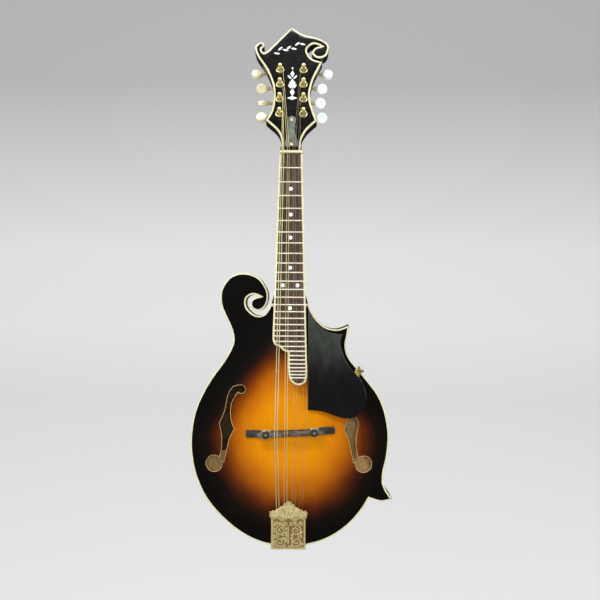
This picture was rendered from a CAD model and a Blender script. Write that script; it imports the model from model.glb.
"""Looks of the scroll-body mandolin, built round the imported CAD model.

Shapes are worked out in millimetres in the CAD frame: +Z up the instrument, front facing -Y, X = 0 on
the string centre line. Outlines come from the CAD nodes' own front faces, made smooth.
"""
import math
import random

import bmesh
import bpy
import numpy as np
from mathutils import Matrix, Vector
from mathutils.geometry import delaunay_2d_cdt


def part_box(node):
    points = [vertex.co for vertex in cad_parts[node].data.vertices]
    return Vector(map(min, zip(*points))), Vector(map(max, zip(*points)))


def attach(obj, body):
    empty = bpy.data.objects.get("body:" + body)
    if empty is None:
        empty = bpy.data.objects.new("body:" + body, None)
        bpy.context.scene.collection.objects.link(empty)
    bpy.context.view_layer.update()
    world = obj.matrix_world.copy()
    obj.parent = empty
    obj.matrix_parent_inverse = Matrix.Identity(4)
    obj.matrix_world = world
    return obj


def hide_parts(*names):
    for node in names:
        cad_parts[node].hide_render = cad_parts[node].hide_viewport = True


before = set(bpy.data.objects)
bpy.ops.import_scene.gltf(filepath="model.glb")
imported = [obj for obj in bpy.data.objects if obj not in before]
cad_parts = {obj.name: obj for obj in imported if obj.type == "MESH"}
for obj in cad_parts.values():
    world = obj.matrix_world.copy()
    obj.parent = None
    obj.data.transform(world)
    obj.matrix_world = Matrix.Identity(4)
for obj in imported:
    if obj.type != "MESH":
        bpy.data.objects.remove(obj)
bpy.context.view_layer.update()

# ---------------------------------------------------------------- sizes, in millimetres
MM = 0.001
GAP = 0.3  # left between neighbouring solids
BINDING = 2.3  # width of each cream edge
PLATE_EDGE = 4  # thickness of the carved plates
TOP_ARCH = 15.5
BACK_ARCH = 13.5
ARCH_START = 7  # flat margin outside the arch
ARCH_REACH = 95  # how far in from the margin the arch goes on rising
RIM_WALL = 2.4
LINING_DIP = 0.3  # how far the label's sheet stands off the back plate
SCALE_LENGTH = 352.4
FRET_COUNT = 29
FRET_WIDTH = 1.6
FRET_HEIGHT = 1
DOT_FRETS = {3: [0], 5: [0], 7: [0], 10: [0], 12: [-9.2, 9.2], 15: [0]}
DOT_RADIUS = 2.6
BOARD_THICK = 5.8
HEAD_START = 4.7  # where the neck's shaft gives way to the headstock
HEAD_BACK = 15.3  # back face of the headstock
OVERLAY = 1.8
COVER_FACE = -GAP - 2  # front of the truss rod cover
POST_X = 15.6
WORM_OFFSET = 7  # worm axis above its post
WORM_Y = 20
COG_HALF = 1.8
PLATE_Y = 16.6  # back face of the tuner plates
BUTTON_RADIUS = 7.2
BUTTON_HALF = 3.5
BRIDGE_X = 1.6
BRIDGE_Z = 148.3
BRIDGE_TURN = math.radians(2.8)
BRIDGE_HALF = 56
BASE_TOP = -41.4
EYE_HOLE = 2.3
WHEEL_X = 30  # thumbwheels either side of the bridge's middle
TAIL_TILT = math.radians(4.5)
BURST_CENTRE = 147  # height of the lacquer's amber centre
SCROLL_SLOT = (-42, 0, 307)  # middle of the slot in the scroll
SCROLL_REACH = 15
ROOM_RADIUS = 9.0  # metres

NECK = Matrix.Translation((0, -0.011, 0.5013)) @ Matrix.Rotation(-math.radians(7), 4, "X")
HEAD = NECK @ Matrix.Translation((0, 0.004, 0.0047)) @ Matrix.Rotation(-math.radians(14.7), 4, "X")
BRIDGE = Matrix.Translation((BRIDGE_X * MM, 0, BRIDGE_Z * MM)) @ Matrix.Rotation(-BRIDGE_TURN, 4, "Y")
COVER = Matrix.Translation((0, -0.0315, 0)) @ Matrix.Rotation(TAIL_TILT, 4, "X")
WORLD = Matrix.Identity(4)

# label: (side of the headstock, post height, turn of the button at rest in degrees)
TUNERS = {
    "g1": (-1, 54.5, -10), "g2": (-1, 77.5, -54), "d1": (-1, 100.5, 36), "d2": (-1, 123.5, -14),
    "a1": (1, 123.5, -8), "a2": (1, 100.5, 36), "e1": (1, 77.5, 33), "e2": (1, 54.5, 38),
}


# ---------------------------------------------------------------- outlines
def front_loops(node, place=WORLD, facing=-1):
    """Closed outlines of a CAD node's front (or back) faces, in X and Z of a placed frame, largest first."""
    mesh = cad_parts[node].data
    inverse = place.inverted()
    points = [inverse @ v.co / MM for v in mesh.vertices]
    uses = {}
    for polygon in mesh.polygons:
        corners = [points[i] for i in polygon.vertices]
        normal = (corners[1] - corners[0]).cross(corners[2] - corners[0])
        if normal.length < 1e-9 or facing * normal.y < 0.3 * normal.length:
            continue
        keys = [(round(p.x, 2), round(p.z, 2)) for p in corners]
        for a, b in zip(keys, keys[1:] + keys[:1]):
            if a != b:
                uses[frozenset((a, b))] = uses.get(frozenset((a, b)), 0) + 1
    links = {}
    for edge, count in uses.items():
        if count == 1:
            a, b = edge
            links.setdefault(a, []).append(b)
            links.setdefault(b, []).append(a)
    loops = []
    while links:
        start = next(iter(links))
        chain = [start]
        while links.get(chain[-1]):
            here = chain[-1]
            there = links[here].pop()
            links[there].remove(here)
            if not links[here]:
                del links[here]
            if there == start:
                break
            chain.append(there)
        links = {k: v for k, v in links.items() if v}
        loops.append(np.array(chain, float))
    return sorted(loops, key=lambda ring: -abs(area(ring)))


def area(ring):
    x, z = ring[:, 0], ring[:, 1]
    return 0.5 * float(np.sum(x * np.roll(z, -1) - np.roll(x, -1) * z))


def unit(rows):
    """Each row scaled to a length of 1."""
    return rows / np.linalg.norm(rows, axis=1)[:, None]


def eased_step(t):
    """0 to 1 with a level start and end."""
    return t * t * (3 - 2 * t)


def arc_lengths(line):
    """The distance along a line at each of its points."""
    return np.concatenate([[0], np.cumsum(np.linalg.norm(np.diff(line, axis=0), axis=1))])


def level(ring, y):
    """An outline placed at one depth."""
    return [(x, y, z) for x, z in ring]


def turns(ring):
    """The change of direction at each point, in degrees."""
    ahead = np.roll(ring, -1, 0) - ring
    behind = ring - np.roll(ring, 1, 0)
    angle = np.arctan2(ahead[:, 1], ahead[:, 0]) - np.arctan2(behind[:, 1], behind[:, 0])
    return np.degrees((angle + math.pi) % (2 * math.pi) - math.pi)


def smooth_loop(ring, step=1.2, corner=50):
    """An anticlockwise smooth curve through a faceted outline; sharp corners stay sharp."""
    ring = ring if area(ring) > 0 else ring[::-1]
    ring = ring[np.abs(turns(ring)) > 0.8]
    sharp = np.abs(turns(ring)) > corner
    after = np.roll(ring, -1, 0) - ring
    length = np.linalg.norm(after, axis=1)
    slope = after / length[:, None]
    before = np.roll(length, 1)
    back = np.roll(slope, 1, 0)
    tangent = (back * length[:, None] + slope * before[:, None]) / (length + before)[:, None]
    straight = length > 3 * np.maximum(before, np.roll(length, -1))
    tangent = np.where(straight[:, None], slope, tangent)
    tangent = np.where(np.roll(straight, 1)[:, None], back, tangent)
    made = []
    for i in range(len(ring)):
        j = (i + 1) % len(ring)
        start = 1.5 * slope[i] - 0.5 * tangent[j] if sharp[i] else tangent[i]
        end = 1.5 * slope[i] - 0.5 * tangent[i] if sharp[j] else tangent[j]
        if straight[i] or sharp[i] and sharp[j]:
            start = end = slope[i]
        count = max(1, math.ceil(length[i] / step))
        t = np.arange(count)[:, None] / count
        made.append(
            ring[i] * (2 * t**3 - 3 * t**2 + 1) + ring[j] * (3 * t**2 - 2 * t**3)
            + length[i] * (start * (t**3 - 2 * t**2 + t) + end * (t**3 - t**2))
        )
    return np.vstack(made)


def inset(ring, distance):
    """The outline moved inwards by a distance, with long corners held back."""
    before = unit(ring - np.roll(ring, 1, 0))
    after = unit(np.roll(ring, -1, 0) - ring)
    along = before + after
    along[np.linalg.norm(along, axis=1) < 1e-3] = (1, 0)
    inward = unit(np.stack([-along[:, 1], along[:, 0]], 1))
    lean = np.abs(-inward[:, 0] * after[:, 1] + inward[:, 1] * after[:, 0])
    return ring + inward * (distance / np.maximum(lean, 0.5))[:, None]


def inside(points, ring):
    """Which points lie inside a closed outline."""
    found = np.zeros(len(points), bool)
    for (x0, z0), (x1, z1) in zip(ring, np.roll(ring, -1, 0)):
        crosses = (z0 > points[:, 1]) != (z1 > points[:, 1])
        if crosses.any():
            at = x0 + (points[:, 1] - z0) * (x1 - x0) / (z1 - z0 or 1e-9)
            found ^= crosses & (points[:, 0] < at)
    return found


def distance_to(points, line, closed=True):
    """The distance from each point to a line of points."""
    nearest = np.full(len(points), 1e9)
    ends = np.roll(line, -1, 0) if closed else line[1:]
    for start, end in zip(line, ends):
        run = end - start
        t = np.clip((points - start) @ run / max(float(run @ run), 1e-9), 0, 1)
        nearest = np.minimum(nearest, np.linalg.norm(points - start - t[:, None] * run, axis=1))
    return nearest


# ---------------------------------------------------------------- shapes: (points, faces)
def joined(*shapes):
    points, faces = [], []
    for more, sides in shapes:
        faces += [[int(i) + len(points) for i in side] for side in sides]
        points += [tuple(p) for p in more]
    return points, faces


def rings(rows, wrap=False, caps=True):
    """A skin through rings with the same number of points; closed on itself, or capped at both ends."""
    count = len(rows[0])
    faces = []
    for r in range(len(rows) if wrap else len(rows) - 1):
        s = (r + 1) % len(rows)
        for i in range(count):
            j = (i + 1) % count
            faces.append([r * count + i, r * count + j, s * count + j, s * count + i])
    if caps and not wrap:
        faces.append(list(range(count))[::-1])
        faces.append([(len(rows) - 1) * count + i for i in range(count)])
    return [tuple(p) for row in rows for p in row], faces


def contour(ring, profile, wrap=False, caps=True):
    """An outline swept through (inset, depth) steps: a capped solid, or a closed frame."""
    rows = []
    for distance, depth in profile:
        rows.append(level(inset(ring, distance) if distance else ring, depth))
    return rings(rows, wrap, caps)


def slab(ring, front, back, bevel=0.4, back_bevel=0.0):
    """A flat solid between two depths, with rounded edges."""
    steps = [(bevel * (1 - math.sin(a)), front + bevel * (1 - math.cos(a))) for a in (0, 0.5, 1, math.pi / 2)]
    if back_bevel:
        arc = (math.pi / 2, 1, 0.5, 0)
        steps += [(back_bevel * (1 - math.sin(a)), back - back_bevel * (1 - math.cos(a))) for a in arc]
    else:
        steps.append((0, back))
    skin = contour(ring, steps, caps=False)
    for distance, depth in (steps[0], steps[-1]):
        flat, triangles, _ = sheet_points(inset(ring, distance), [], 7.0)
        skin = joined(skin, (level(flat, depth), triangles))
    return skin


def box_ring(x0, x1, z0, z1, radius=0.5, steps=4):
    """A rectangle with round corners."""
    made = []
    corners = [(x1, z1, 0), (x0, z1, 90), (x0, z0, 180), (x1, z0, 270)]
    for x, z, start in corners:
        cx = x - math.copysign(radius, x - (x0 + x1) / 2)
        cz = z - math.copysign(radius, z - (z0 + z1) / 2)
        for k in range(steps + 1):
            angle = math.radians(start + 90 * k / steps)
            made.append((cx + radius * math.cos(angle), cz + radius * math.sin(angle)))
    return np.array(made)


def round_ring(x, z, radius, sides=32, lobes=0, depth=0.0):
    """A circle, with lobes or knurls if asked."""
    angle = np.linspace(0, 2 * math.pi, sides, endpoint=False)
    reach = radius + depth * np.cos(lobes * angle)
    return np.stack([x + reach * np.cos(angle), z + reach * np.sin(angle)], 1)


def lathe(profile, x=0, z=0, sides=28):
    """A solid turned about a line along Y, from (radius, y) steps."""
    return rings([level(round_ring(x, z, max(radius, 0.01), sides), y) for radius, y in profile])


def tube(path, radius, sides=12, caps=True):
    """A round wire through points in space; radius is one number or one for each point."""
    path = np.array(path, float)
    sizes = np.broadcast_to(radius, len(path))
    run = unit(np.gradient(path, axis=0))
    side = np.cross(run[0], (0.31, 0.9, 0.3))
    rows = []
    for centre, along, size in zip(path, run, sizes):
        side = side - along * float(side @ along)
        side = side / np.linalg.norm(side)
        up = np.cross(along, side)
        angle = np.linspace(0, 2 * math.pi, sides, endpoint=False)[:, None]
        rows.append(centre + size * (np.cos(angle) * side + np.sin(angle) * up))
    return rings(rows, caps=caps)


def along_x(shape):
    """A shape turned about Y, laid along X instead."""
    points, faces = shape
    return [(y, -x, z) for x, y, z in points], faces


def rounded_path(corners, radius, steps=6):
    """A line through points with its corners rounded off."""
    corners = [Vector(c) for c in corners]
    made = [corners[0]]
    for before, here, after in zip(corners, corners[1:], corners[2:]):
        reach = min(radius, (here - before).length / 2, (after - here).length / 2)
        start = here + (before - here).normalized() * reach
        end = here + (after - here).normalized() * reach
        for k in range(steps + 1):
            t = k / steps
            made.append(start * (1 - t) ** 2 + here * (2 * t * (1 - t)) + end * t**2)
    return [tuple(p) for p in made + [corners[-1]]]


def sheet_points(outline, holes, spacing):
    """Triangles that fill an outline, less its holes: (points, triangles, loops of edge points)."""
    low, high = outline.min(0), outline.max(0)
    xs = np.arange(low[0], high[0], spacing)
    zs = np.arange(low[1], high[1], spacing * 0.87)
    grid = np.array([(x + (k % 2) * spacing / 2, z) for k, z in enumerate(zs) for x in xs])
    grid = grid[inside(grid, outline)]
    for hole in holes:
        grid = grid[~inside(grid, hole)]
    for edge in [outline, *holes]:
        grid = grid[distance_to(grid, edge) > spacing * 0.45]
    points = [tuple(p) for p in outline]
    loops = [list(range(len(points)))]
    for hole in holes:
        loops.append(list(range(len(points), len(points) + len(hole))))
        points += [tuple(p) for p in hole]
    edges = [(a, b) for loop in loops for a, b in zip(loop, loop[1:] + loop[:1])]
    points += [tuple(p) for p in grid]
    found = delaunay_2d_cdt([Vector(p) for p in points], edges, [], 0, 1e-5)
    flat = np.array([tuple(v) for v in found[0]])
    first = {old: new for new, olds in enumerate(found[3]) for old in olds}
    triangles = np.array([f for f in found[2] if len(f) == 3])
    middle = flat[triangles].mean(1)
    keep = inside(middle, outline)
    for hole in holes:
        keep &= ~inside(middle, hole)
    return flat, triangles[keep], [[first[i] for i in loop] for loop in loops]


def plate(outline, holes, spacing, front, thickness):
    """A carved sheet: its front follows a depth function of X and Z, its back lies a thickness behind."""
    flat, triangles, loops = sheet_points(outline, holes, spacing)
    depth = front(flat)
    count = len(flat)
    points = [(x, y, z) for (x, z), y in zip(flat, depth)]
    points += [(x, y + thickness, z) for (x, z), y in zip(flat, depth)]
    faces = [list(map(int, t)) for t in triangles]
    faces += [[int(i) + count for i in reversed(t)] for t in triangles]
    for loop in loops:
        faces += [[a, b, b + count, a + count] for a, b in zip(loop, loop[1:] + loop[:1])]
    return points, faces


# ---------------------------------------------------------------- pieces
def linked(name, data):
    """A new object in the scene."""
    made = bpy.data.objects.new(name, data)
    bpy.context.scene.collection.objects.link(made)
    return made


def mesh_of(name, shape, place):
    """A clean mesh in metres, with its faces pointing out."""
    points, faces = shape
    mesh = bpy.data.meshes.new(name)
    mesh.from_pydata([tuple(c * MM for c in p) for p in points], [], faces)
    mesh.transform(place)
    work = bmesh.new()
    work.from_mesh(mesh)
    bmesh.ops.remove_doubles(work, verts=work.verts, dist=2e-6)
    bmesh.ops.dissolve_degenerate(work, dist=1e-6, edges=work.edges)
    bmesh.ops.recalc_face_normals(work, faces=work.faces)
    work.to_mesh(mesh)
    work.free()
    return mesh


def cut_away(made, shape, place):
    """Cuts a shape out of an object."""
    cutter = linked("cutter", mesh_of("cutter", shape, place))
    bore = made.modifiers.new("bore", "BOOLEAN")
    bore.operation = "DIFFERENCE"
    bore.object = cutter
    bored = made.evaluated_get(bpy.context.evaluated_depsgraph_get())
    made.data = bpy.data.meshes.new_from_object(bored)
    made.modifiers.clear()
    bpy.data.objects.remove(cutter)


def piece(name, shape, material, body="instrument", replaces=(), place=WORLD, smooth=35,
          bores=None):
    """Makes a named piece from a shape in millimetres, which rides on a CAD body."""
    mesh = mesh_of(name, shape, place)
    mesh.shade_smooth()
    mesh.set_sharp_from_angle(angle=math.radians(smooth))
    for polygon in mesh.polygons:
        if len(polygon.vertices) > 4:
            polygon.use_smooth = False
    mesh.materials.append(material)
    made = linked(name, mesh)
    if bores:
        cut_away(made, bores, place)
    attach(made, body)
    if replaces:
        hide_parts(*replaces)
    return made


def paint(made, name, values):
    """Keeps one number for each vertex, worked out from the vertices' places in millimetres."""
    points = np.array([v.co for v in made.data.vertices]) / MM
    attribute = made.data.attributes.new(name, "FLOAT", "POINT")
    attribute.data.foreach_set("value", np.asarray(values(points), np.float32))


# ---------------------------------------------------------------- materials
def srgb(red, green, blue):
    """A colour given in the usual 0 to 255 steps, as the shader wants it."""
    steps = [c / 255 for c in (red, green, blue)]
    return tuple(c / 12.92 if c <= 0.04045 else ((c + 0.055) / 1.055) ** 2.4 for c in steps) + (1,)


class Finish:
    """A material built up node by node."""

    def __init__(self, name, **values):
        self.material = bpy.data.materials.new(name)
        self.material.use_nodes = True
        self.tree = self.material.node_tree
        self.shader = self.tree.nodes["Principled BSDF"]
        for key, value in values.items():
            self.shader.inputs[key.replace("_", " ").title().replace("Ior", "IOR")].default_value = value
        self.place = self.node("TexCoord").outputs["Object"]

    def node(self, kind, inputs=None, **settings):
        made = self.tree.nodes.new("ShaderNode" + kind)
        for key, value in settings.items():
            setattr(made, key, value)
        for key, value in (inputs or {}).items():
            if isinstance(value, bpy.types.NodeSocket):
                self.tree.links.new(value, made.inputs[key])
            else:
                made.inputs[key].default_value = value
        return made

    def noise(self, size, detail=3.0, stretch=(1, 1, 1), rough=0.5, warp=0.0):
        """Noise of a size in millimetres, stretched along any axis."""
        scale = [1 / (size * MM * s) for s in stretch]
        where = self.node("Mapping", {"Vector": self.place, "Scale": scale}).outputs["Vector"]
        settings = {"Vector": where, "Scale": 1.0, "Detail": detail, "Roughness": rough, "Distortion": warp}
        return self.node("TexNoise", settings).outputs["Fac"]

    def value(self, name):
        return self.node("Attribute", attribute_name=name).outputs["Fac"]

    def math(self, kind, a, b=0.0):
        return self.node("Math", {0: a, 1: b}, operation=kind).outputs[0]

    def range(self, value, low, high, to_low=0.0, to_high=1.0):
        spans = {"From Min": low, "From Max": high, "To Min": to_low, "To Max": to_high}
        return self.node("MapRange", {"Value": value, **spans}).outputs["Result"]

    def ramp(self, value, stops):
        made = self.node("ValToRGB", {"Fac": value})
        bar = made.color_ramp
        while len(bar.elements) < len(stops):
            bar.elements.new(0.5)
        for element, (at, colour) in zip(bar.elements, stops):
            element.position = at
            element.color = colour
        return made.outputs["Color"]

    def mix(self, share, a, b, kind="MIX"):
        made = self.node("Mix", data_type="RGBA", blend_type=kind)
        for key, value in ((0, share), (6, a), (7, b)):
            if isinstance(value, bpy.types.NodeSocket):
                self.tree.links.new(value, made.inputs[key])
            else:
                made.inputs[key].default_value = value
        return made.outputs[2]

    def tint(self, share, colour, shade):
        """A colour, darkened by a shade as far as a share says."""
        return self.mix(share, colour, self.mix(1.0, colour, shade, "MULTIPLY"))

    def height(self):
        """Distance up the instrument, in metres."""
        return self.node("SeparateXYZ", {0: self.place}).outputs["Z"]

    def bump(self, height, depth, strength=1.0):
        """Bumps of a depth in millimetres."""
        made = self.node("Bump", {"Height": height, "Strength": strength, "Distance": depth * MM})
        self.link(made.outputs["Normal"], "Normal")

    def link(self, output, socket):
        self.tree.links.new(output, self.shader.inputs[socket])
        return self


def sunburst():
    """Clear lacquer over spruce, shaded from amber through brown to black."""
    f = Finish("sunburst_lacquer", coat_weight=1.0, coat_roughness=0.05, roughness=0.5,
               specular_ior_level=0.08)
    shade = [
        (0.0, srgb(222, 143, 0)), (0.3, srgb(208, 130, 0)), (0.42, srgb(190, 112, 0)),
        (0.52, srgb(166, 90, 0)), (0.61, srgb(128, 62, 0)), (0.69, srgb(84, 34, 2)),
        (0.76, srgb(48, 18, 5)), (0.83, srgb(18, 10, 6)), (0.95, srgb(7, 6, 5)),
    ]
    cloud = f.range(f.noise(26, 3), 0.3, 0.7, -0.018, 0.018)
    colour = f.ramp(f.math("ADD", f.math("MULTIPLY", f.value("burst"), 0.7), cloud), shade)
    growth = f.noise(1.0, 2, (1, 40, 120), 0.6)
    fine = f.noise(0.35, 2, (1, 20, 60), 0.5)
    colour = f.tint(f.range(growth, 0.35, 0.7, 0.0, 0.14), colour, srgb(186, 140, 90))
    colour = f.tint(f.range(fine, 0.45, 0.75, 0.0, 0.12), colour, srgb(150, 110, 80))
    f.link(colour, "Base Color")
    f.bump(growth, 0.02, 0.25)
    return f.material


def maple():
    """Dark shaded maple with curled figure, under gloss lacquer."""
    f = Finish("sunburst_maple", coat_weight=1.0, coat_roughness=0.06, roughness=0.45,
               specular_ior_level=0.15)
    shade = [
        (0.0, srgb(196, 104, 22)), (0.45, srgb(158, 72, 14)), (0.62, srgb(96, 36, 10)),
        (0.75, srgb(48, 20, 9)), (0.9, srgb(20, 12, 8)), (1.0, srgb(12, 9, 7)),
    ]
    colour = f.ramp(f.math("MULTIPLY", f.value("burst"), 0.75), shade)
    drift = f.range(f.noise(16, 2), 0.3, 0.7, -5.0, 5.0)
    curl = f.math("SINE", f.math("MULTIPLY", f.math("ADD", f.value("figure"), drift), 0.85))
    curl = f.range(curl, -1.0, 1.0, 0.0, 0.55)
    colour = f.tint(curl, colour, srgb(128, 98, 84))
    pores = f.noise(0.6, 2, (1, 1, 14), 0.6)
    colour = f.tint(f.range(pores, 0.55, 0.8, 0.0, 0.3), colour, srgb(110, 80, 60))
    f.link(colour, "Base Color")
    return f.material


def plain_wood(name, light, dark, grain=(1, 30, 90), size=1.2, rough=0.75, pore=0.05, coat=0.0):
    f = Finish(name, roughness=rough, coat_weight=coat, coat_roughness=0.1)
    growth = f.noise(size, 3, grain, 0.65)
    broad = f.noise(size * 9, 2, grain, 0.5)
    colour = f.mix(f.range(growth, 0.32, 0.68), light, dark)
    colour = f.tint(f.range(broad, 0.3, 0.7, 0.0, 0.5), colour, dark)
    f.link(colour, "Base Color")
    f.link(f.range(growth, 0.3, 0.7, rough - 0.08, rough + 0.1), "Roughness")
    f.bump(growth, pore)
    return f.material


def celluloid():
    """Cream binding, a little uneven with age."""
    f = Finish("cream_celluloid", coat_weight=0.6, coat_roughness=0.12, roughness=0.35,
               subsurface_weight=0.05)
    age = f.noise(11, 4)
    colour = f.mix(f.range(age, 0.35, 0.7), srgb(218, 213, 178), srgb(200, 192, 148))
    f.link(f.mix(f.range(f.noise(1.6, 3), 0.5, 0.8, 0.0, 0.35), colour, srgb(196, 184, 140)), "Base Color")
    f.bump(f.noise(4, 2), 0.03, 0.4)
    return f.material


def gloss_black(name, low=srgb(8, 8, 8), high=srgb(20, 21, 19), cloud=30, coat_rough=0.04):
    f = Finish(name, coat_weight=1.0, coat_roughness=coat_rough, roughness=0.4, specular_ior_level=0.1)
    f.link(f.mix(f.range(f.noise(cloud, 4, warp=0.8), 0.35, 0.7), low, high), "Base Color")
    f.link(f.range(f.noise(9, 3), 0.3, 0.7, 0.34, 0.46), "Roughness")
    return f.material


def guard_plastic():
    """Black celluloid, cloudy with handling, greyer towards its top."""
    f = Finish("pickguard_celluloid", coat_weight=1.0, coat_roughness=0.07, roughness=0.42,
               specular_ior_level=0.1)
    rise = f.range(f.height(), 0.205, 0.262)
    smudge = f.noise(20, 4, (1, 1, 1.6), 0.6, 1.4)
    dull = f.math("ADD", f.range(smudge, 0.35, 0.7, -0.16, 0.16), f.math("MULTIPLY", rise, 0.84))
    shade = [
        (0.0, srgb(14, 15, 14)), (0.25, srgb(22, 23, 21)), (0.7, srgb(46, 49, 45)), (1.0, srgb(58, 61, 56)),
    ]
    f.link(f.ramp(dull, shade), "Base Color")
    f.link(f.range(smudge, 0.3, 0.7, 0.34, 0.5), "Roughness")
    return f.material


def metal(name, light, dark, rough=0.24, cloud=5.0, depth=0.02, relief=False, shine=0.8):
    """Plated metal, dulled a little by its lacquer; with relief, its hollows are dark with age."""
    f = Finish(name, metallic=shine, roughness=rough)
    wear = f.noise(cloud, 4, warp=0.5)
    colour = f.mix(f.range(wear, 0.3, 0.7), light, dark)
    if relief:
        hollow = f.range(f.value("relief"), 0.05, 0.75, 1.0, 0.0)
        colour = f.tint(hollow, colour, srgb(138, 120, 84))
        f.link(f.range(hollow, 0.0, 1.0, rough, rough + 0.25), "Roughness")
    else:
        f.link(f.range(f.noise(1.2, 3), 0.3, 0.75, rough - 0.06, rough + 0.1), "Roughness")
    f.link(colour, "Base Color")
    f.bump(f.noise(0.8, 3), depth, 0.5)
    return f.material


def wound(name, light, dark, pitch):
    """A wire with a fine winding round it."""
    f = Finish(name, metallic=0.6, roughness=0.34)
    wave = f.math("SINE", f.math("MULTIPLY", f.height(), 2 * math.pi / (pitch * MM)))
    tone = f.mix(f.range(f.noise(9, 3, (1, 1, 3)), 0.35, 0.7), light, dark)
    f.link(f.mix(f.range(wave, -1.0, 1.0, 0.0, 0.35), tone, dark), "Base Color")
    f.bump(wave, 0.03, 0.6)
    return f.material


def pearl(name, base, warm, cool, size=5.0):
    """Mother of pearl, or its plastic stand-in, with drifting bands."""
    f = Finish(name, coat_weight=1.0, coat_roughness=0.05, roughness=0.32, subsurface_weight=0.08)
    bands = f.noise(size, 3, (1, 1, 0.5), warp=2.2)
    tones = [(0.0, warm), (0.35, base), (0.6, cool), (0.8, base), (1.0, warm)]
    f.link(f.ramp(f.range(bands, 0.25, 0.75), tones), "Base Color")
    f.link(f.range(bands, 0.3, 0.7, 0.24, 0.42), "Roughness")
    f.bump(f.noise(3, 2), 0.03, 0.4)
    return f.material


LACQUER = sunburst()
MAPLE = maple()
SPRUCE = plain_wood("raw_spruce", srgb(214, 172, 108), srgb(176, 128, 70))
CREAM = celluloid()
VENEER = gloss_black("headstock_lacquer")
GUARD = guard_plastic()
ROSEWOOD = plain_wood("rosewood", srgb(98, 78, 66), srgb(44, 34, 30), (1, 8, 22), 1.4, 0.55, 0.12)
EBONY = plain_wood("ebony", srgb(68, 66, 60), srgb(38, 36, 33), (14, 3, 1), 1.1, 0.42, 0.05, 0.2)
SADDLE_WOOD = plain_wood("worn_ebony", srgb(124, 114, 103), srgb(74, 67, 60), (9, 3, 1), 1.3, 0.5, 0.06)
BONE = pearl("bone", srgb(228, 222, 178), srgb(212, 204, 152), srgb(236, 230, 196), 9)
ANTIQUE = metal("antique_brass", srgb(240, 222, 164), srgb(214, 196, 136), 0.4, 4, 0.03, True, 0.45)
GOLD = metal("gold_plate", srgb(255, 244, 184), srgb(250, 226, 146), 0.2, shine=0.7)
NICKEL = metal("nickel_silver", srgb(252, 248, 226), srgb(234, 230, 204), 0.3, shine=0.3)
STEEL = wound("plain_string", srgb(196, 184, 158), srgb(150, 136, 110), 2.0)
BRONZE = wound("wound_string", srgb(244, 234, 178), srgb(206, 194, 142), 0.32)
SHELL = pearl("pearl_inlay", srgb(236, 238, 232), srgb(226, 222, 206), srgb(244, 250, 252), 3)
BUTTON_WARM = pearl("pearloid_warm", srgb(210, 202, 166), srgb(190, 176, 134), srgb(224, 218, 190), 6)
BUTTON_COOL = pearl("pearloid_cool", srgb(220, 228, 226), srgb(202, 212, 209), srgb(240, 246, 245), 6)
PAPER = plain_wood("paper", srgb(92, 78, 50), srgb(70, 58, 36), (1, 1, 1), 6, 0.9, 0.02)
INSIDE = plain_wood("inside_maple", srgb(226, 194, 138), srgb(196, 162, 108), (1, 1, 10), 1.5, 0.8, 0.03)
RAW_EDGE = plain_wood("f_hole_edge", srgb(232, 208, 150), srgb(190, 150, 90), (1, 1, 6), 1.0, 0.5)
GLASS_BLACK = gloss_black("cover_plastic", srgb(92, 98, 92), srgb(122, 128, 120), 12)
WHEEL = metal("aged_nickel", srgb(226, 218, 190), srgb(160, 152, 130), 0.3, 2.5, shine=0.6)
BRIGHT_GOLD = metal("bright_gold", srgb(255, 238, 168), srgb(244, 214, 128), 0.16, shine=0.92)
HANGER = metal("hanger_brass", srgb(214, 194, 132), srgb(172, 150, 98), 0.34, 6, shine=0.6)

# by the first letter of the string: the wire, its looks and its CAD material slot
COURSES = {
    "g": {"radius": 0.51, "finish": BRONZE, "slot": "wound_bronze"},
    "d": {"radius": 0.33, "finish": BRONZE, "slot": "wound_bronze"},
    "a": {"radius": 0.2, "finish": STEEL, "slot": "plain_steel"},
    "e": {"radius": 0.14, "finish": STEEL, "slot": "plain_steel"},
}
# CAD nodes shown as they are, in these finishes
KEPT = {
    "head_block": SPRUCE, "tail_block": SPRUCE, "top_lining": SPRUCE, "back_lining": SPRUCE,
    "tone_bar_bass": SPRUCE, "tone_bar_treble": SPRUCE, "truss_rod": NICKEL, "truss_rod_nut": GOLD,
    "fingerboard_riser": VENEER, "tailpiece_base": HANGER, "pickguard_bracket": GOLD,
}


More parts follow.
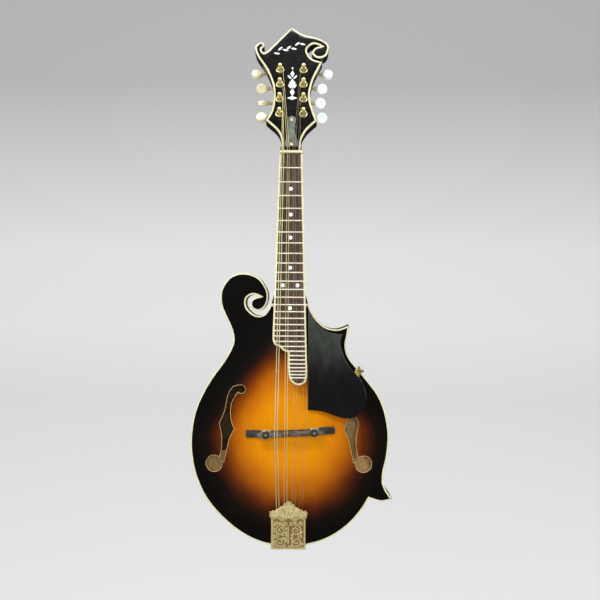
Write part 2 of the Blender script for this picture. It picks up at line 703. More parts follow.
# ---------------------------------------------------------------- body
class Arch:
    """The carved shape shared by both plates: 0 at the edge, 1 at the crown, eased over any ridge."""

    STEP = 2.5

    def __init__(self, edge):
        self.low = edge.min(0) - 2 * self.STEP
        xs = np.arange(self.low[0], edge[:, 0].max() + 3 * self.STEP, self.STEP)
        zs = np.arange(self.low[1], edge[:, 1].max() + 3 * self.STEP, self.STEP)
        grid = np.array([(x, z) for x in xs for z in zs])
        gap = np.where(inside(grid, edge), distance_to(grid, edge), 0)
        reach = np.clip((gap - ARCH_START) / ARCH_REACH, 0, 1)
        share = eased_step(reach) * (1 - 0.6 * ((grid[:, 1] - 150) / 190) ** 2)
        field = share.reshape(len(xs), len(zs))
        free = (gap > ARCH_START).reshape(field.shape)
        for _ in range(70):
            shifts = ((1, 0), (-1, 0), (1, 1), (-1, 1))
            near = sum(np.roll(field, step, axis) for step, axis in shifts) / 4
            field = np.where(free, 0.4 * field + 0.6 * near, field)
        self.field = field * share.max() / field.max()

    def __call__(self, points, face, height):
        """Depths of a carved face for points in X and Z."""
        spot = (np.asarray(points) - self.low) / self.STEP
        cell = np.clip(spot.astype(int), 0, np.array(self.field.shape) - 2)
        u, v = np.clip(spot - cell, 0, 1).T
        i, j = cell.T
        field = self.field
        share = (field[i, j] * (1 - u) * (1 - v) + field[i + 1, j] * u * (1 - v)
                 + field[i, j + 1] * (1 - u) * v + field[i + 1, j + 1] * u * v)
        return face - height * share


def burst_value(points):
    """0 at the amber centre of the lacquer, 1 where brown turns to black, more towards the edge."""
    x, z = points[:, 0], points[:, 2]
    above = np.maximum(z - BURST_CENTRE, 0)
    wide = np.where(x < 2, 88, 93) - 0.35 * above
    tall = np.where(z > BURST_CENTRE, 105, 99)
    return np.hypot((x - 2) / np.maximum(wide, 20), (z - BURST_CENTRE) / tall)


def make_body():
    edge = smooth_loop(front_loops("rim")[0], corner=60)
    arch = Arch(edge)
    loops = front_loops("top_plate")
    outline = smooth_loop(loops[0])
    holes = [smooth_loop(hole, 0.9) for hole in loops[1:3]]
    front, rim_front = (v.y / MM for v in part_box("top_binding"))
    top = plate(outline, holes, 2.6, lambda p: arch(p, front, TOP_ARCH), PLATE_EDGE)
    made = piece("carved_top", top, LACQUER, replaces=["top_plate"], smooth=40)
    line_inside(made, lambda polygon: polygon.normal.y > 0.3)
    paint(made, "burst", burst_value)

    for side, hole in zip(("bass", "treble"), sorted(holes, key=lambda h: h[:, 0].mean())):
        depth = arch(hole, front, TOP_ARCH)
        inner = inset(hole, 0.4)
        frames = []
        for lift, ring in ((-0.12, hole), (-0.12, inner), (2.2, inner), (2.2, hole)):
            frames.append([(x, y + lift, z) for (x, z), y in zip(ring, depth)])
        piece(f"f_hole_edge_{side}", rings(frames, wrap=True), RAW_EDGE)

    back_front, back = (v.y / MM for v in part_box("back_binding"))
    shell = flipped(plate(outline, [], 3.2, lambda p: arch(p, front, BACK_ARCH), PLATE_EDGE))
    made = piece("carved_back", shell, MAPLE, replaces=["back_plate"], smooth=40)
    line_inside(made, lambda polygon: polygon.normal.y < -0.3)
    paint(made, "burst", burst_value)
    paint(made, "figure", lambda p: p[:, 2] + 0.35 * np.abs(p[:, 0]))

    near, far = (v.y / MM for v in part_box("rim"))
    wall = contour(edge, [(0, near), (0, far), (RIM_WALL, far), (RIM_WALL, near)], True)
    made = piece("side_wall", wall, MAPLE, replaces=["rim"])
    count = len(edge)  # faces in each band of the wall: 0 is its outside, 2 its inside
    line_inside(made, lambda polygon: polygon.index // count == 2)
    scroll = Vector(SCROLL_SLOT) * MM
    for polygon in made.data.polygons:
        if polygon.index // count == 0 and (polygon.center - scroll).xz.length < SCROLL_REACH * MM:
            polygon.material_index = 1
    run = arc_lengths(edge)

    def along_edge(p):
        return run[[int(np.argmin(np.hypot(*(edge - q).T))) for q in p[:, [0, 2]]]]

    paint(made, "figure", along_edge)
    paint(made, "burst", lambda p: 0.92 + 0.12 * np.abs(p[:, 1]) / 17)

    for face, outer, inner in (("top", front, rim_front), ("back", back, back_front)):
        step = math.copysign(0.5, inner - outer)
        profile = [(0, inner), (0, outer + step), (0.15, outer + 0.3 * step), (0.5, outer),
                   (BINDING - 0.2, outer), (BINDING, outer + 0.4 * step), (BINDING, inner)]
        piece(f"bound_edge_{face}", contour(edge, profile, True), CREAM,
              replaces=[f"{face}_binding"])

    label = plate(box_ring(-98, -40, 116, 202, 2), [], 3.0,
                  lambda p: -arch(p, front, BACK_ARCH) - PLATE_EDGE - LINING_DIP, 0.2)
    piece("paper_label", label, PAPER)
    return arch


def line_inside(made, chosen):
    """Bare wood on the faces that look into the body."""
    made.data.materials.append(INSIDE)
    for polygon in made.data.polygons:
        if chosen(polygon):
            polygon.material_index = 1


# ---------------------------------------------------------------- neck and headstock
def eased(stations, steps):
    """Rows between stations, eased with a smooth curve through them."""
    rows = np.array(stations, float)
    made = []
    for i in range(len(rows) - 1):
        a, b = rows[max(i - 1, 0)], rows[min(i + 2, len(rows) - 1)]
        p, q = rows[i], rows[i + 1]
        for t in np.arange(steps) / steps:
            made.append(0.5 * (2 * p + (q - a) * t + (2 * a - 5 * p + 4 * q - b) * t**2
                               + (3 * p - a - 3 * q + b) * t**3))
    return made + [rows[-1]]


def make_neck():
    # height along the neck, half width, depth behind the fingerboard
    stations = [
        (-216, 24, 46), (-197, 23.4, 43), (-189, 21.8, 33), (-180, 19.4, 21), (-168, 18.3, 15.5),
        (-150, 17.8, 14.4), (-60, 15.4, 13.4), (HEAD_START, 13.8, 13),
        (10, 12.2, 14.2), (19, 11.4, 17.5), (27, 9, 17),
    ]
    top = BOARD_THICK + GAP
    rows = []
    for z, half, depth in eased(stations, 7):
        face = top if z < HEAD_START else top + 0.3 * (z - HEAD_START)
        angle = np.linspace(0, math.pi, 33)
        y = face + np.maximum(depth - (face - top), 0.5) * np.sin(angle) ** 0.8
        rows.append([(half * c, d, z) for c, d in zip(np.cos(angle), y)])
    shaft = rings(rows)
    outline = smooth_loop(front_loops("headstock_binding", HEAD)[0], corner=60)
    blade = slab(outline, OVERLAY + GAP, HEAD_BACK, 0.2, 1.2)
    tilt = NECK.inverted() @ HEAD
    blade = ([tuple(tilt @ (Vector(p) * MM) / MM) for p in blade[0]], blade[1])
    made = piece("carved_neck", joined(shaft, blade), MAPLE, replaces=["neck"], place=NECK,
                 smooth=45)
    work = bmesh.new()
    work.from_mesh(made.data)
    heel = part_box("neck")[0].z
    cut = bmesh.ops.bisect_plane(work, geom=work.verts[:] + work.edges[:] + work.faces[:], dist=1e-7,
                                 plane_co=(0, 0, heel), plane_no=(0, 0, 1), clear_inner=True)
    edges = [e for e in cut["geom_cut"] if isinstance(e, bmesh.types.BMEdge)]
    bmesh.ops.contextual_create(work, geom=edges)
    work.to_mesh(made.data)
    work.free()
    paint(made, "figure", lambda p: p[:, 2] + 3 * np.sin(p[:, 0] / 9))
    paint(made, "burst", lambda p: np.clip(0.75 + 0.5 * np.abs((p[:, 2] - 420) / 130) ** 2, 0, 1.25))

    overlay = slab(inset(outline, BINDING + 0.05), 0, OVERLAY, 0.3)
    piece("headstock_face", overlay, VENEER, replaces=["headstock_overlay"], place=HEAD)
    trim = [(0, OVERLAY), (0, 0.4), (0.12, 0.12), (0.4, 0), (BINDING - 0.1, 0), (BINDING, 0.15),
            (BINDING, OVERLAY)]
    nut_side = contour(box_ring(-9.8, 9.8, -2, 3.2), [(0, -2), (0, OVERLAY + 1)])
    piece("headstock_edge", contour(outline, trim, True), CREAM,
          replaces=["headstock_binding"], place=HEAD, bores=nut_side)
    make_inlay()

    cover = smooth_loop(front_loops("truss_rod_cover", HEAD)[0], 0.8, corner=60)
    piece("bell_cover", slab(cover, COVER_FACE, -GAP, 0.7), GLASS_BLACK,
          replaces=["truss_rod_cover"], place=HEAD)
    for name, z in (("lower", 7), ("upper", 43.8)):
        screw = slotted_screw(0.5, z, COVER_FACE - GAP, 2.1, 0.9, 2.2)
        piece(f"cover_screw_{name}", screw, GOLD, replaces=[f"truss_cover_screw_{name}"],
              place=HEAD)


def slotted_screw(x, z, seat, radius, height, shank):
    """A dome-headed screw whose head stands off a seat towards -Y, with a slot across it."""
    dome = [(radius, seat), (radius, seat - 0.25 * height), (radius * 0.86, seat - 0.62 * height),
            (radius * 0.55, seat - 0.9 * height), (0.01, seat - height)]
    stem = radius * 0.45
    points, faces = lathe([(0.01, seat + shank), (stem, seat + shank), (stem, seat)] + dome, x, z, 24)
    carved = []
    for px, py, pz in points:
        across = (px - x) * 0.8 + (pz - z) * 0.6
        if abs(across) < radius * 0.16 and py < seat - 0.3 * height:
            py += 0.45 * height
        carved.append((px, py, pz))
    return carved, faces


def leaf(x, z, length, width, turn):
    """A pointed leaf outline."""
    t = np.linspace(0, 1, 12, endpoint=False)
    half = width / 2 * np.sin(math.pi * t) ** 0.9
    top = np.stack([t * length, half], 1)
    low = np.stack([length - t * length, -width / 2 * np.sin(math.pi * (1 - t)) ** 0.9], 1)
    ring = np.vstack([top, low])
    c, s = math.cos(math.radians(turn)), math.sin(math.radians(turn))
    return np.stack([x + c * ring[:, 0] - s * ring[:, 1], z + s * ring[:, 0] + c * ring[:, 1]], 1)


def make_inlay():
    """A plain leaf spray across the top and a stack of lozenges between the posts."""
    front, back = -0.06, 0.3
    shapes = []
    for k in range(7):
        x = -24.5 + 5.7 * k
        z = 151 + 2.3 * k + 1.6 * math.sin(k * 1.3)
        shapes.append(slab(leaf(x, z, 8.4, 2.8, 46 if k % 2 else -12), front, back, 0.05))
    middle = 0.8
    for z, tall, wide in ((79, 6, 14), (88, 13, 6.4), (102, 15, 9), (117, 11, 5.4), (126, 5, 2.6)):
        across, up = wide / 2, tall / 2
        ring = np.array([(middle, z - up), (middle + across, z), (middle, z + up), (middle - across, z)])
        shapes.append(slab(ring, front, back, 0.05))
    for side in (-1, 1):
        for z, turn in ((94, 60), (109, 52)):
            ring = leaf(middle, z, 7.6, 2.6, turn)
            ring[:, 0] = middle + side * (ring[:, 0] - middle + 1.5)
            shapes.append(slab(ring if side > 0 else ring[::-1], front, back, 0.05))
    piece("leaf_inlay", joined(*shapes), SHELL, place=HEAD)


# ---------------------------------------------------------------- fingerboard
def fret_z(number):
    return -SCALE_LENGTH * (1 - 2 ** (-number / 12))


def span_at(ring, z):
    """Where an outline starts and ends at one height."""
    after = np.roll(ring, -1, 0)
    hits = (ring[:, 1] > z) != (after[:, 1] > z)
    p, q = ring[hits], after[hits]
    x = p[:, 0] + (z - p[:, 1]) * (q[:, 0] - p[:, 0]) / (q[:, 1] - p[:, 1])
    return float(x.min()), float(x.max())


def make_fingerboard():
    wood = smooth_loop(front_loops("fingerboard", NECK, 1)[0], 1.5, corner=42)
    piece("rosewood_board", slab(wood, 0, BOARD_THICK, 0.15), ROSEWOOD,
          replaces=["fingerboard"], place=NECK)
    top = wood[:, 1].max() - 0.7
    ends = sorted((i for i, z in enumerate(wood[:, 1]) if z > top), key=lambda i: wood[i][0])
    path = np.roll(wood, -ends[0], 0)
    path = path[[i for i, z in enumerate(path[:, 1]) if z < top or i == 0]]
    path = np.vstack([path, wood[ends[-1]]])
    outer = inset(wood, -BINDING)
    steps = [(0.05, BOARD_THICK), (0.05, 0), (BINDING - 0.4, 0), (BINDING - 0.12, 0.12), (BINDING, 0.4),
             (BINDING, BOARD_THICK)]
    run = unit(np.gradient(path, axis=0))
    side = np.stack([run[:, 1], -run[:, 0]], 1)
    side[0], side[-1] = (-1, 0), (1, 0)
    rows = [[(x + u * out, y, z + v * out) for out, y in steps] for (x, z), (u, v) in zip(path, side)]
    piece("board_edge", rings(rows), CREAM, replaces=["fingerboard_binding"],
          place=NECK)

    bars = []
    for number in range(1, FRET_COUNT + 1):
        z = fret_z(number)
        left, right = span_at(outer, z)
        angle = np.linspace(0, math.pi, 9)
        section = [(-GAP - (FRET_HEIGHT - GAP) * math.sin(a), z + FRET_WIDTH / 2 * math.cos(a))
                   for a in angle]
        rows = []
        for x, shrink in ((left + 0.3, 0.35), (left + 0.55, 0.85), (left + 0.9, 1), (right - 0.9, 1),
                          (right - 0.55, 0.85), (right - 0.3, 0.35)):
            rows.append([(x, -0.05 + (y + 0.05) * shrink, z + (q - z) * (0.5 + shrink / 2))
                         for y, q in section])
        bars.append(rings(rows))
    piece("fret_wires", joined(*bars), NICKEL, replaces=["frets"], place=NECK)

    dots = []
    for number, places in DOT_FRETS.items():
        z = (fret_z(number) + fret_z(number - 1)) / 2
        for x in places:
            disc = [(0.01, 0.4), (DOT_RADIUS, 0.4), (DOT_RADIUS, -0.04), (0.01, -0.05)]
            dots.append(lathe(disc, x + 0.3, z, 24))
    piece("position_dots", joined(*dots), SHELL, place=NECK)


def make_nut():
    """A bone nut with a slot for each string."""
    half = (NECK.inverted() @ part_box("nut")[1] / MM).x
    over = {label: (NECK.inverted() @ Vector(string_points(label)[2] * MM)).x / MM for label in TUNERS}
    line = [(-half, BOARD_THICK), (-half, 0.1), (-half + 0.6, -0.5)]
    for x, radius in sorted((x, COURSES[label[0]]["radius"]) for label, x in over.items()):
        line += [(x - radius - 0.15, -0.6), (x - radius, -0.3), (x + radius, -0.3), (x + radius + 0.15, -0.6)]
    line += [(half - 0.6, -0.5), (half, 0.1), (half, BOARD_THICK)]
    rows = []
    for z, drop in ((0.0, 0.25), (0.35, 0.0), (2.0, 0.05), (3.0, 0.5), (3.4, 1.2)):
        rows.append([(x, y + (drop if y < 1 else 0), z) for x, y in line])
    piece("bone_nut", rings(rows), BONE, replaces=["nut"], place=NECK)


# ---------------------------------------------------------------- tuners
def make_tuner(label):
    side, z, turn = TUNERS[label]
    x = side * POST_X
    worm_z = z + WORM_OFFSET
    bushing = [(5.3, 0.02), (5.3, -0.5), (4.9, -0.9), (4.2, -1.35), (3.5, -1.5), (3.35, -1.1), (3.35, 0.02)]
    rows = [level(round_ring(x, z, r, 36, 6, 0.22 if r > 4 else 0), y) for r, y in bushing]
    piece(f"bushing_{label}", rings(rows, wrap=True), GOLD, place=HEAD)
    profile = [
        (0.01, -11.5), (1.4, -11.5), (2.4, -11.2), (2.8, -10.5), (2.8, -8.8), (2.1, -7.5), (1.9, -6.0),
        (2.0, -4.6), (2.3, -3.6), (2.3, 1.2), (3.0, 1.6), (3.0, 18.0), (0.01, 18.0),
    ]
    cog = []
    for y, reach in ((-COG_HALF, 4.2), (0.3 - COG_HALF, 4.5), (COG_HALF - 0.3, 4.5), (COG_HALF, 4.2)):
        cog.append(level(round_ring(x, z, reach - 0.35, 96, 16, 0.35), WORM_Y + y))
    screw = flipped(slotted_screw(x, z, -(WORM_Y + COG_HALF), 2.2, 1.0, 0.6))
    wraps = []
    for k in range(97):
        angle = math.radians(30 * k) * side
        wraps.append((x + 2.3 * math.cos(angle), -6.9 + 0.025 * k, z + 2.3 * math.sin(angle)))
    post = joined(lathe(profile, x, z, 28), rings(cog), lathe([(1.9, 17.9), (1.9, 22)], x, z, 16), screw)
    piece(f"post_{label}", post, GOLD, f"post_{label}", [f"string_post_{label}"], HEAD)
    course = COURSES[label[0]]
    winding = tube(wraps, course["radius"], 6)
    piece(f"winding_{label}", winding, course["finish"], f"post_{label}", place=HEAD)

    low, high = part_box(f"tuner_button_{label}")
    far = (high.x if side > 0 else low.x) / MM
    centre = far - side * BUTTON_RADIUS
    ring = round_ring(centre, 0, BUTTON_RADIUS, 48)
    bevel = [(1.3, BUTTON_HALF), (0.55, BUTTON_HALF - 0.2), (0.12, BUTTON_HALF - 0.7), (0, BUTTON_HALF - 1.4)]
    disc = contour(ring, [(d, -y) for d, y in bevel] + bevel[::-1])
    place = HEAD @ Matrix.Translation((0, WORM_Y * MM, worm_z * MM))
    spin = place @ Matrix.Rotation(math.radians(turn), 4, "X")
    finish = BUTTON_WARM if side < 0 else BUTTON_COOL
    piece(f"button_{label}", disc, finish, f"button_{label}", [f"tuner_button_{label}"], spin)
    neck_end = abs(centre) - BUTTON_RADIUS
    shaft = [
        (0.01, 8.4), (1.5, 8.4), (1.5, 11.6), (2.2, 11.7), (2.2, 20.3), (1.5, 20.4), (1.5, neck_end - 4.2),
        (2.0, neck_end - 4.0), (2.6, neck_end - 3.0), (2.6, neck_end - 1.8), (2.0, neck_end - 1.0),
        (2.3, neck_end + 0.4), (0.01, neck_end + 0.4),
    ]
    rod = along_x(lathe(shaft, 0, 0, 20))
    thread = []
    for k in range(61):
        angle = math.radians(45 * k)
        thread.append((12.4 + 7.2 * k / 60, 2.25 * math.cos(angle), 2.25 * math.sin(angle)))
    rod = joined(rod, tube(thread, 0.32, 6))
    if side < 0:
        rod = ([(-px, py, pz) for px, py, pz in rod[0]], [f[::-1] for f in rod[1]])
    piece(f"worm_shaft_{label}", rod, GOLD, f"button_{label}", place=place)


def flipped(shape):
    """A shape mirrored front to back."""
    return [(x, -y, z) for x, y, z in shape[0]], [f[::-1] for f in shape[1]]


def make_tuner_plates():
    for name, side in (("bass", -1), ("treble", 1)):
        heights = sorted({z for s, z, _ in TUNERS.values() if s == side})
        x0, x1 = sorted((side * 8, side * 22.4))
        outline = box_ring(x0, x1, heights[0] - 9, heights[-1] + 13, 3)
        parts = [flipped(slab(outline, -PLATE_Y, -HEAD_BACK - GAP, 0.3))]
        for z in heights:
            for x in (8.6, 20.8):
                lug = box_ring(16.5, 22.6, z + WORM_OFFSET - 3, z + WORM_OFFSET + 3, 1.4)
                ends = sorted((side * x, side * (x + 1.5)))
                parts.append(rings([[(end, y, q) for y, q in lug] for end in ends]))
            drop = 8.2 if z > heights[0] else 6
            parts.append(flipped(slotted_screw(side * 10.4, z - drop, -PLATE_Y, 1.5, 0.8, 1)))
        parts.append(flipped(slotted_screw(side * 19.6, heights[-1] + 10, -PLATE_Y, 1.5, 0.8, 1)))
        piece(f"tuner_strip_{name}", joined(*parts), GOLD,
              replaces=[f"tuner_plate_{name}"], place=HEAD)


# ---------------------------------------------------------------- strings
def string_points(label):
    """The string's own turning points, from its CAD solid."""
    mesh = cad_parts[f"string_{label}"].data
    corners = sorted({tuple(round(c, 6) for c in v.co) for v in mesh.vertices}, key=lambda c: c[2])
    rows = np.array(corners) / MM
    return [rows[i:i + 6].mean(0) for i in range(0, len(rows), 6)]


def make_strings():
    for label in TUNERS:
        course = COURSES[label[0]]
        path = string_points(label)
        x, y, z = path[0]
        line = rounded_path([(x, y + 1.2, z - 3.5), (x, y + 0.3, z - 1.5)] + path, 1.2, 4)
        piece(f"wire_{label}", tube(line, course["radius"], 10), course["finish"],
              replaces=[f"string_{label}"])


# ---------------------------------------------------------------- bridge
def make_bridge(arch):
    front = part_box("top_binding")[0].y / MM

    def floor_at(x, z):
        spot = BRIDGE @ Vector((x * MM, 0, z * MM)) / MM
        return float(arch([(spot.x, spot.z)], front, TOP_ARCH)[0]) - 0.15

    rows = []
    for x in [*np.linspace(-BRIDGE_HALF, -BRIDGE_HALF + 2, 6), *np.linspace(-52, 52, 53),
              *np.linspace(BRIDGE_HALF - 2, BRIDGE_HALF, 6)]:
        inward = BRIDGE_HALF - abs(x)
        flare = np.clip((abs(x) - 33) / 6, 0, 1)
        half = 3.2 + 1.4 * eased_step(flare)
        if inward < 2:
            half -= 2 - math.sqrt(max(4 - (2 - inward) ** 2, 0.04))
        drop = np.clip((abs(x) - 36) / 12, 0, 1)
        top = BASE_TOP + 4.6 * eased_step(drop) + 1.6 * np.clip((abs(x) - 50) / 6, 0, 1) ** 2
        ring = []
        for a in (0, 30, 60, 90):
            s, c = math.sin(math.radians(a)), math.cos(math.radians(a))
            ring.append((x, top + 0.8 * (1 - s), -half + 0.8 * (1 - c)))
        mirror = [(x, y, -z) for x, y, z in reversed(ring)]
        ring = [(x, floor_at(x, -half), -half)] + ring + mirror + [(x, floor_at(x, half), half)]
        rows.append(ring)
    piece("ebony_foot", rings(rows), EBONY, replaces=["bridge_base"], place=BRIDGE)

    low, top = (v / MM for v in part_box("bridge_saddle"))
    crest = low.y
    steps = [(-41, 0.0), (-21.5, -0.9), (-10.6, 1.0), (1.6, -1.1), (13.2, 0.7), (26, 0.0), (41, 0.0)]
    places = []
    for (start, lean), (end, _) in zip(steps, steps[1:]):
        places += [(x, lean) for x in np.linspace(start + 0.15, end - 0.15, 9)]
    rows = []
    for x, lean in places:
        side = abs(x)
        rise = crest + np.interp(side, [22, 25, 30, 36, 40.9], [0, 1.6, 3.0, 3.6, 5.6])
        foot = np.interp(side, [14, 20], [-49.6, top.y])
        thick = 3.0 if side < 38 else 3.0 - 0.6 * (side - 38)
        ridge = 0.7 if side < 25 else 2.2
        shoulder = max(rise + 2.4, -53.4) if side < 25 else rise + 0.6
        shoulder = min(shoulder, foot - 0.2)
        rows.append([
            (x, foot, -thick), (x, shoulder, -thick),
            (x, rise + 0.3, lean - ridge), (x, rise, lean - ridge + 0.3),
            (x, rise, lean + ridge - 0.3), (x, rise + 0.3, lean + ridge),
            (x, shoulder, thick), (x, foot, thick),
        ])
    eyes = []
    for side in (-1, 1):
        eye = [(EYE_HOLE, -54.2), (4.0, -54.2), (4.7, -53.5), (4.7, top.y), (EYE_HOLE, top.y)]
        eyes.append(rings([level(round_ring(side * WHEEL_X, 0, r, 32), y) for r, y in eye], wrap=True))
    piece("saddle_eyes", joined(*eyes), EBONY, "saddle", place=BRIDGE)
    holes = [lathe([(4.6, -60), (4.6, -40)], side * WHEEL_X, 0, 32) for side in (-1, 1)]
    piece("stepped_saddle", rings(rows), SADDLE_WOOD, "saddle", ["bridge_saddle"], BRIDGE, 25,
          joined(*holes))

    for name, side in (("bass", -1), ("treble", 1)):
        low, high = (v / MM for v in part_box(f"thumbwheel_{name}"))
        radius = (high.z - low.z) / 2
        face, rear = low.y, high.y
        profile = [(EYE_HOLE, face), (radius - 0.9, face), (radius - 0.15, face + 0.5),
                   (radius - 0.15, rear - 0.5), (radius - 0.9, rear), (EYE_HOLE, rear)]
        rows = []
        for r, y in profile:
            knurl = 0.16 if r > radius - 0.5 else 0
            rows.append(level(round_ring(side * WHEEL_X, 0, r, 144, 36, knurl), y))
        piece(f"knurled_wheel_{name}", rings(rows, wrap=True), WHEEL, f"thumbwheel_{name}",
              [f"thumbwheel_{name}"], BRIDGE)
        low, high = (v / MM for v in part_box(f"bridge_post_{name}"))
        grooves = [(0.01, high.y), (1.7, high.y)]
        for k in range(21):
            y = high.y - 0.3 - (high.y - low.y - 0.8) * k / 20
            grooves.append((1.95 if k % 2 else 1.7, y))
        grooves += [(1.5, low.y), (0.01, low.y)]
        piece(f"screw_post_{name}", lathe(grooves, side * WHEEL_X, 0, 20), GOLD,
              replaces=[f"bridge_post_{name}"], place=BRIDGE)


# ---------------------------------------------------------------- tailpiece
def spiral(x, z, reach, sweep, start, hand):
    """A scroll that winds in towards its middle."""
    t = np.linspace(0, 1, 26)
    angle = math.radians(start) + hand * math.radians(sweep) * t
    size = reach * (1 - 0.82 * t)
    return np.stack([x + size * np.cos(angle), z + size * np.sin(angle)], 1)


def scrollwork():
    """Plain acanthus-like scrolls for the tailpiece, mirrored about its middle."""
    lines = []
    for side in (-1, 1):
        for x, z, reach, sweep, start, hand in (
            (10.5, 10.5, 6.4, 520, 200, 1), (9.5, 25.5, 6.8, 560, 100, -1), (14.8, 18.2, 3.4, 420, 80, 1),
            (3.8, 33.2, 3.0, 400, 0, 1), (15.6, 33.6, 2.8, 400, 180, -1), (4.4, 4.9, 2.4, 380, 90, -1),
            (18.6, 45.6, 4.0, 460, 250, -1), (9.6, 46.4, 4.4, 480, 330, 1), (4.2, 54.0, 3.0, 420, 250, -1),
        ):
            line = spiral(x, z, reach, sweep, start, hand)
            line[:, 0] *= side
            lines.append(line)
    lines.append(np.array([(0, 8), (0, 30)], float))
    lines.append(round_ring(0, 48.5, 2.6, 20))
    lines.append(np.array([(0, 54), (0, 60)], float))
    rng = random.Random(7)
    for x in np.arange(-18.4, 19, 3.9):
        for z in (*np.arange(3.6, 37, 3.9), 43.2, 49.8, 52.6):
            gap = min(distance_to(np.array([[x, z]]), line, closed=False)[0] for line in lines)
            if gap > 1.7:
                lines.append(spiral(x, z, 1.75, 330, rng.uniform(0, 360), rng.choice((-1, 1))))
    return lines


def make_tailpiece():
    outline = smooth_loop(front_loops("tailpiece_cover", COVER)[0], 0.7, corner=36)
    run = arc_lengths(outline)
    scallop = np.where(outline[:, 1] > 42, 0.55 * (1 - np.cos(run * 1.15)), 0.0)[:, None]
    outline = outline + (inset(outline, 1.0) - outline) * scallop
    lines = scrollwork()

    def height(points):
        """Relief from 0 in the hollows to 1 on the highest ridges."""
        raised = np.zeros(len(points))
        for line in lines:
            gap = distance_to(points, line, closed=False) / 0.85
            raised = np.maximum(raised, np.sqrt(np.clip(1 - gap**2, 0, 1)) * 0.85)
        beads = 0.16 * (1 + np.sin(points[:, 0] * 3.1) * np.sin(points[:, 1] * 2.9 + points[:, 0]))
        raised = np.maximum(raised, beads)
        rim = distance_to(points, outline)
        plain = points[:, 1] < 38
        border = plain & (rim > 0.5) & (rim < 2.4)
        raised = np.where(border, 0.8, raised)
        groove = plain & (rim >= 2.4) & (rim < 2.9)
        raised = np.where(groove, 0.05, raised)
        crown = points[:, 1] > 38.6 + 1.5 * np.cos(points[:, 0] * 0.42)
        return np.clip(raised * 0.75 + np.where(crown, 0.32, 0.0), 0, 1)

    def face(points):
        rim = np.clip(distance_to(points, outline) / 0.5, 0, 1)
        return 0.4 - 0.4 * rim - 0.75 * height(points) * rim

    made = piece("relief_cover", plate(outline, [], 0.6, face, 1.1), ANTIQUE, "tail_cover",
                 ["tailpiece_cover"], COVER, 60)
    paint(made, "relief", lambda p: height(in_frame(p, COVER)))

    skirt = [i for i, (x, z) in enumerate(outline) if z < 40.5]
    first = next(k for k in range(len(skirt)) if (skirt[k] - skirt[k - 1]) % len(outline) != 1)
    skirt = skirt[first:] + skirt[:first]
    path, inner = outline[skirt], inset(outline, 1.2)[skirt]
    rows = [[(x, 0.35, z), (x, 7, z), (u, 7, w), (u, 0.35, w)] for (x, z), (u, w) in zip(path, inner)]
    made = piece("cover_skirt", rings(rows), ANTIQUE, "tail_cover", place=COVER)
    paint(made, "relief", lambda p: np.full(len(p), 0.7))

    screws = []
    for x, y in ((-12, 4), (0, -8), (12, 4)):
        points, faces = lathe([(0.01, 1.1), (2.6, 1.1), (2.9, 0.02), (2.3, -0.12), (0.01, -0.16)], x, 0, 24)
        screws.append(([(px, pz + y, py) for px, py, pz in points], faces))
    piece("hanger_screws", joined(*screws), HANGER)


def in_frame(points, place):
    """World points, in millimetres, as X and Z of a placed frame."""
    turn = np.array(place.inverted())
    return (points @ turn[:3, :3].T + turn[:3, 3] / MM)[:, [0, 2]]


# ---------------------------------------------------------------- pickguard
def make_pickguard():
    low, high = (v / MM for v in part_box("pickguard"))
    outline = smooth_loop(front_loops("pickguard")[0], 1.2, corner=60)
    piece("bevelled_guard", slab(outline, low.y, high.y, 0.9), GUARD,
          replaces=["pickguard"])
    x, z = 88.1, 224.6
    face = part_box("top_binding")[0].y / MM - 2.8
    knob = slab(round_ring(x, z, 4.6, 72, 4, 1.5), face - 3.4, face, 1.3, 0.4)
    boss = lathe([(2.4, face), (2.4, face - 3.6), (1.8, face - 4.6), (0.01, face - 4.9)], x, z, 24)
    piece("clamp_knob", joined(knob, boss), BRIGHT_GOLD)


# ---------------------------------------------------------------- stage, light and camera
def make_stage():
    f = Finish("studio_paper", roughness=0.9, emission_strength=0.79)
    shade = [(0.0, srgb(228, 228, 228)), (0.3, srgb(216, 216, 216)), (0.45, srgb(224, 224, 224)),
             (0.62, srgb(222, 222, 222)), (0.78, srgb(206, 206, 206)), (1.0, srgb(182, 182, 182))]
    tone = f.ramp(f.range(f.height(), -0.55, 1.15), shade)
    f.link(tone, "Emission Color")
    f.link(f.mix(1.0, tone, srgb(140, 140, 140), "MULTIPLY"), "Base Color")
    profile = [(-2.0, -0.55), (0.6, -0.55)]
    for k in range(13):
        angle = math.radians(90 * k / 12)
        profile.append((0.9 + 1.3 * math.sin(angle), 0.75 - 1.3 * math.cos(angle)))
    profile.append((2.2, 3.2))
    points = [(x, y, z) for y, z in profile for x in (-4, 4)]
    faces = [[2 * k, 2 * k + 1, 2 * k + 3, 2 * k + 2] for k in range(len(profile) - 1)]
    mesh = bpy.data.meshes.new("studio_paper")
    mesh.from_pydata(points, [], faces)
    mesh.shade_smooth()
    mesh.materials.append(f.material)
    paper = linked("studio_paper", mesh)
    paper.visible_glossy = False
    mesh = bpy.data.meshes.new("studio_room")
    work = bmesh.new()
    bmesh.ops.create_uvsphere(work, u_segments=32, v_segments=16, radius=ROOM_RADIUS)
    work.to_mesh(mesh)
    work.free()
    mesh.shade_smooth()
    mesh.materials.append(f.material)
    room = linked("studio_room", mesh)
    room.visible_glossy = False
    room.visible_diffuse = False


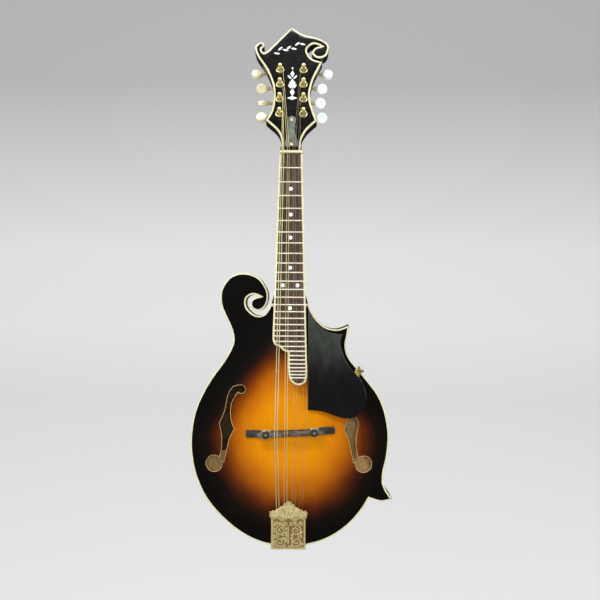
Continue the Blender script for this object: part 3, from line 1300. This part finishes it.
def area_light(name, place, target, width, height, power, glossy=False):
    light = bpy.data.lights.new(name, "AREA")
    light.shape = "RECTANGLE"
    light.size = width
    light.size_y = height
    light.energy = power
    made = linked(name, light)
    made.location = place
    made.rotation_euler = (Vector(target) - Vector(place)).to_track_quat("-Z", "Y").to_euler()
    made.visible_glossy = glossy


def make_lights():
    middle = (0, 0, 0.3)
    area_light("key", (-0.6, -1.7, 1.9), middle, 0.7, 0.5, 33)
    area_light("fill_left", (-1.8, -1.3, 0.5), middle, 1.0, 1.2, 9)
    area_light("fill_right", (1.8, -1.3, 0.6), middle, 1.0, 1.2, 13)
    area_light("front", (0.05, -1.6, 0.42), middle, 0.3, 0.3, 9)
    area_light("edge_left", (-1.7, -0.3, 0.7), middle, 0.7, 1.4, 14, True)
    area_light("edge_right", (1.7, -0.3, 0.7), middle, 0.7, 1.4, 14, True)
    area_light("overhead", (0, -0.1, 2.0), middle, 1.2, 0.6, 13, True)
    area_light("glint", (-0.35, -1.5, 0.75), middle, 0.12, 0.12, 2.5, True)
    area_light("behind", (0.9, 0.5, 1.3), middle, 0.8, 0.5, 8)
    world = bpy.data.worlds.new("studio")
    world.use_nodes = True
    sky = world.node_tree.nodes["Background"]
    sky.inputs["Color"].default_value = (0.92, 0.96, 1, 1)
    sky.inputs["Strength"].default_value = 0.045
    bpy.context.scene.world = world
    bpy.context.scene.view_settings.view_transform = "Standard"


def make_camera():
    lens = bpy.data.cameras.new("camera")
    lens.lens = 51.72
    made = linked("camera", lens)
    turn = Matrix.Rotation(math.radians(90), 4, "X") @ Matrix.Rotation(math.radians(0.37), 4, "Z")
    made.matrix_world = Matrix.Translation((0.0128, -1.111, 0.3133)) @ turn
    bpy.context.scene.camera = made


# ---------------------------------------------------------------- the whole instrument

make_camera()
carving = make_body()
make_neck()
make_fingerboard()
make_nut()
for tuner in TUNERS:
    make_tuner(tuner)
make_tuner_plates()
make_strings()
make_bridge(carving)
make_tailpiece()
make_pickguard()
for node, finish in KEPT.items():
    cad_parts[node].data.materials.clear()
    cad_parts[node].data.materials.append(finish)
make_stage()
make_lights()
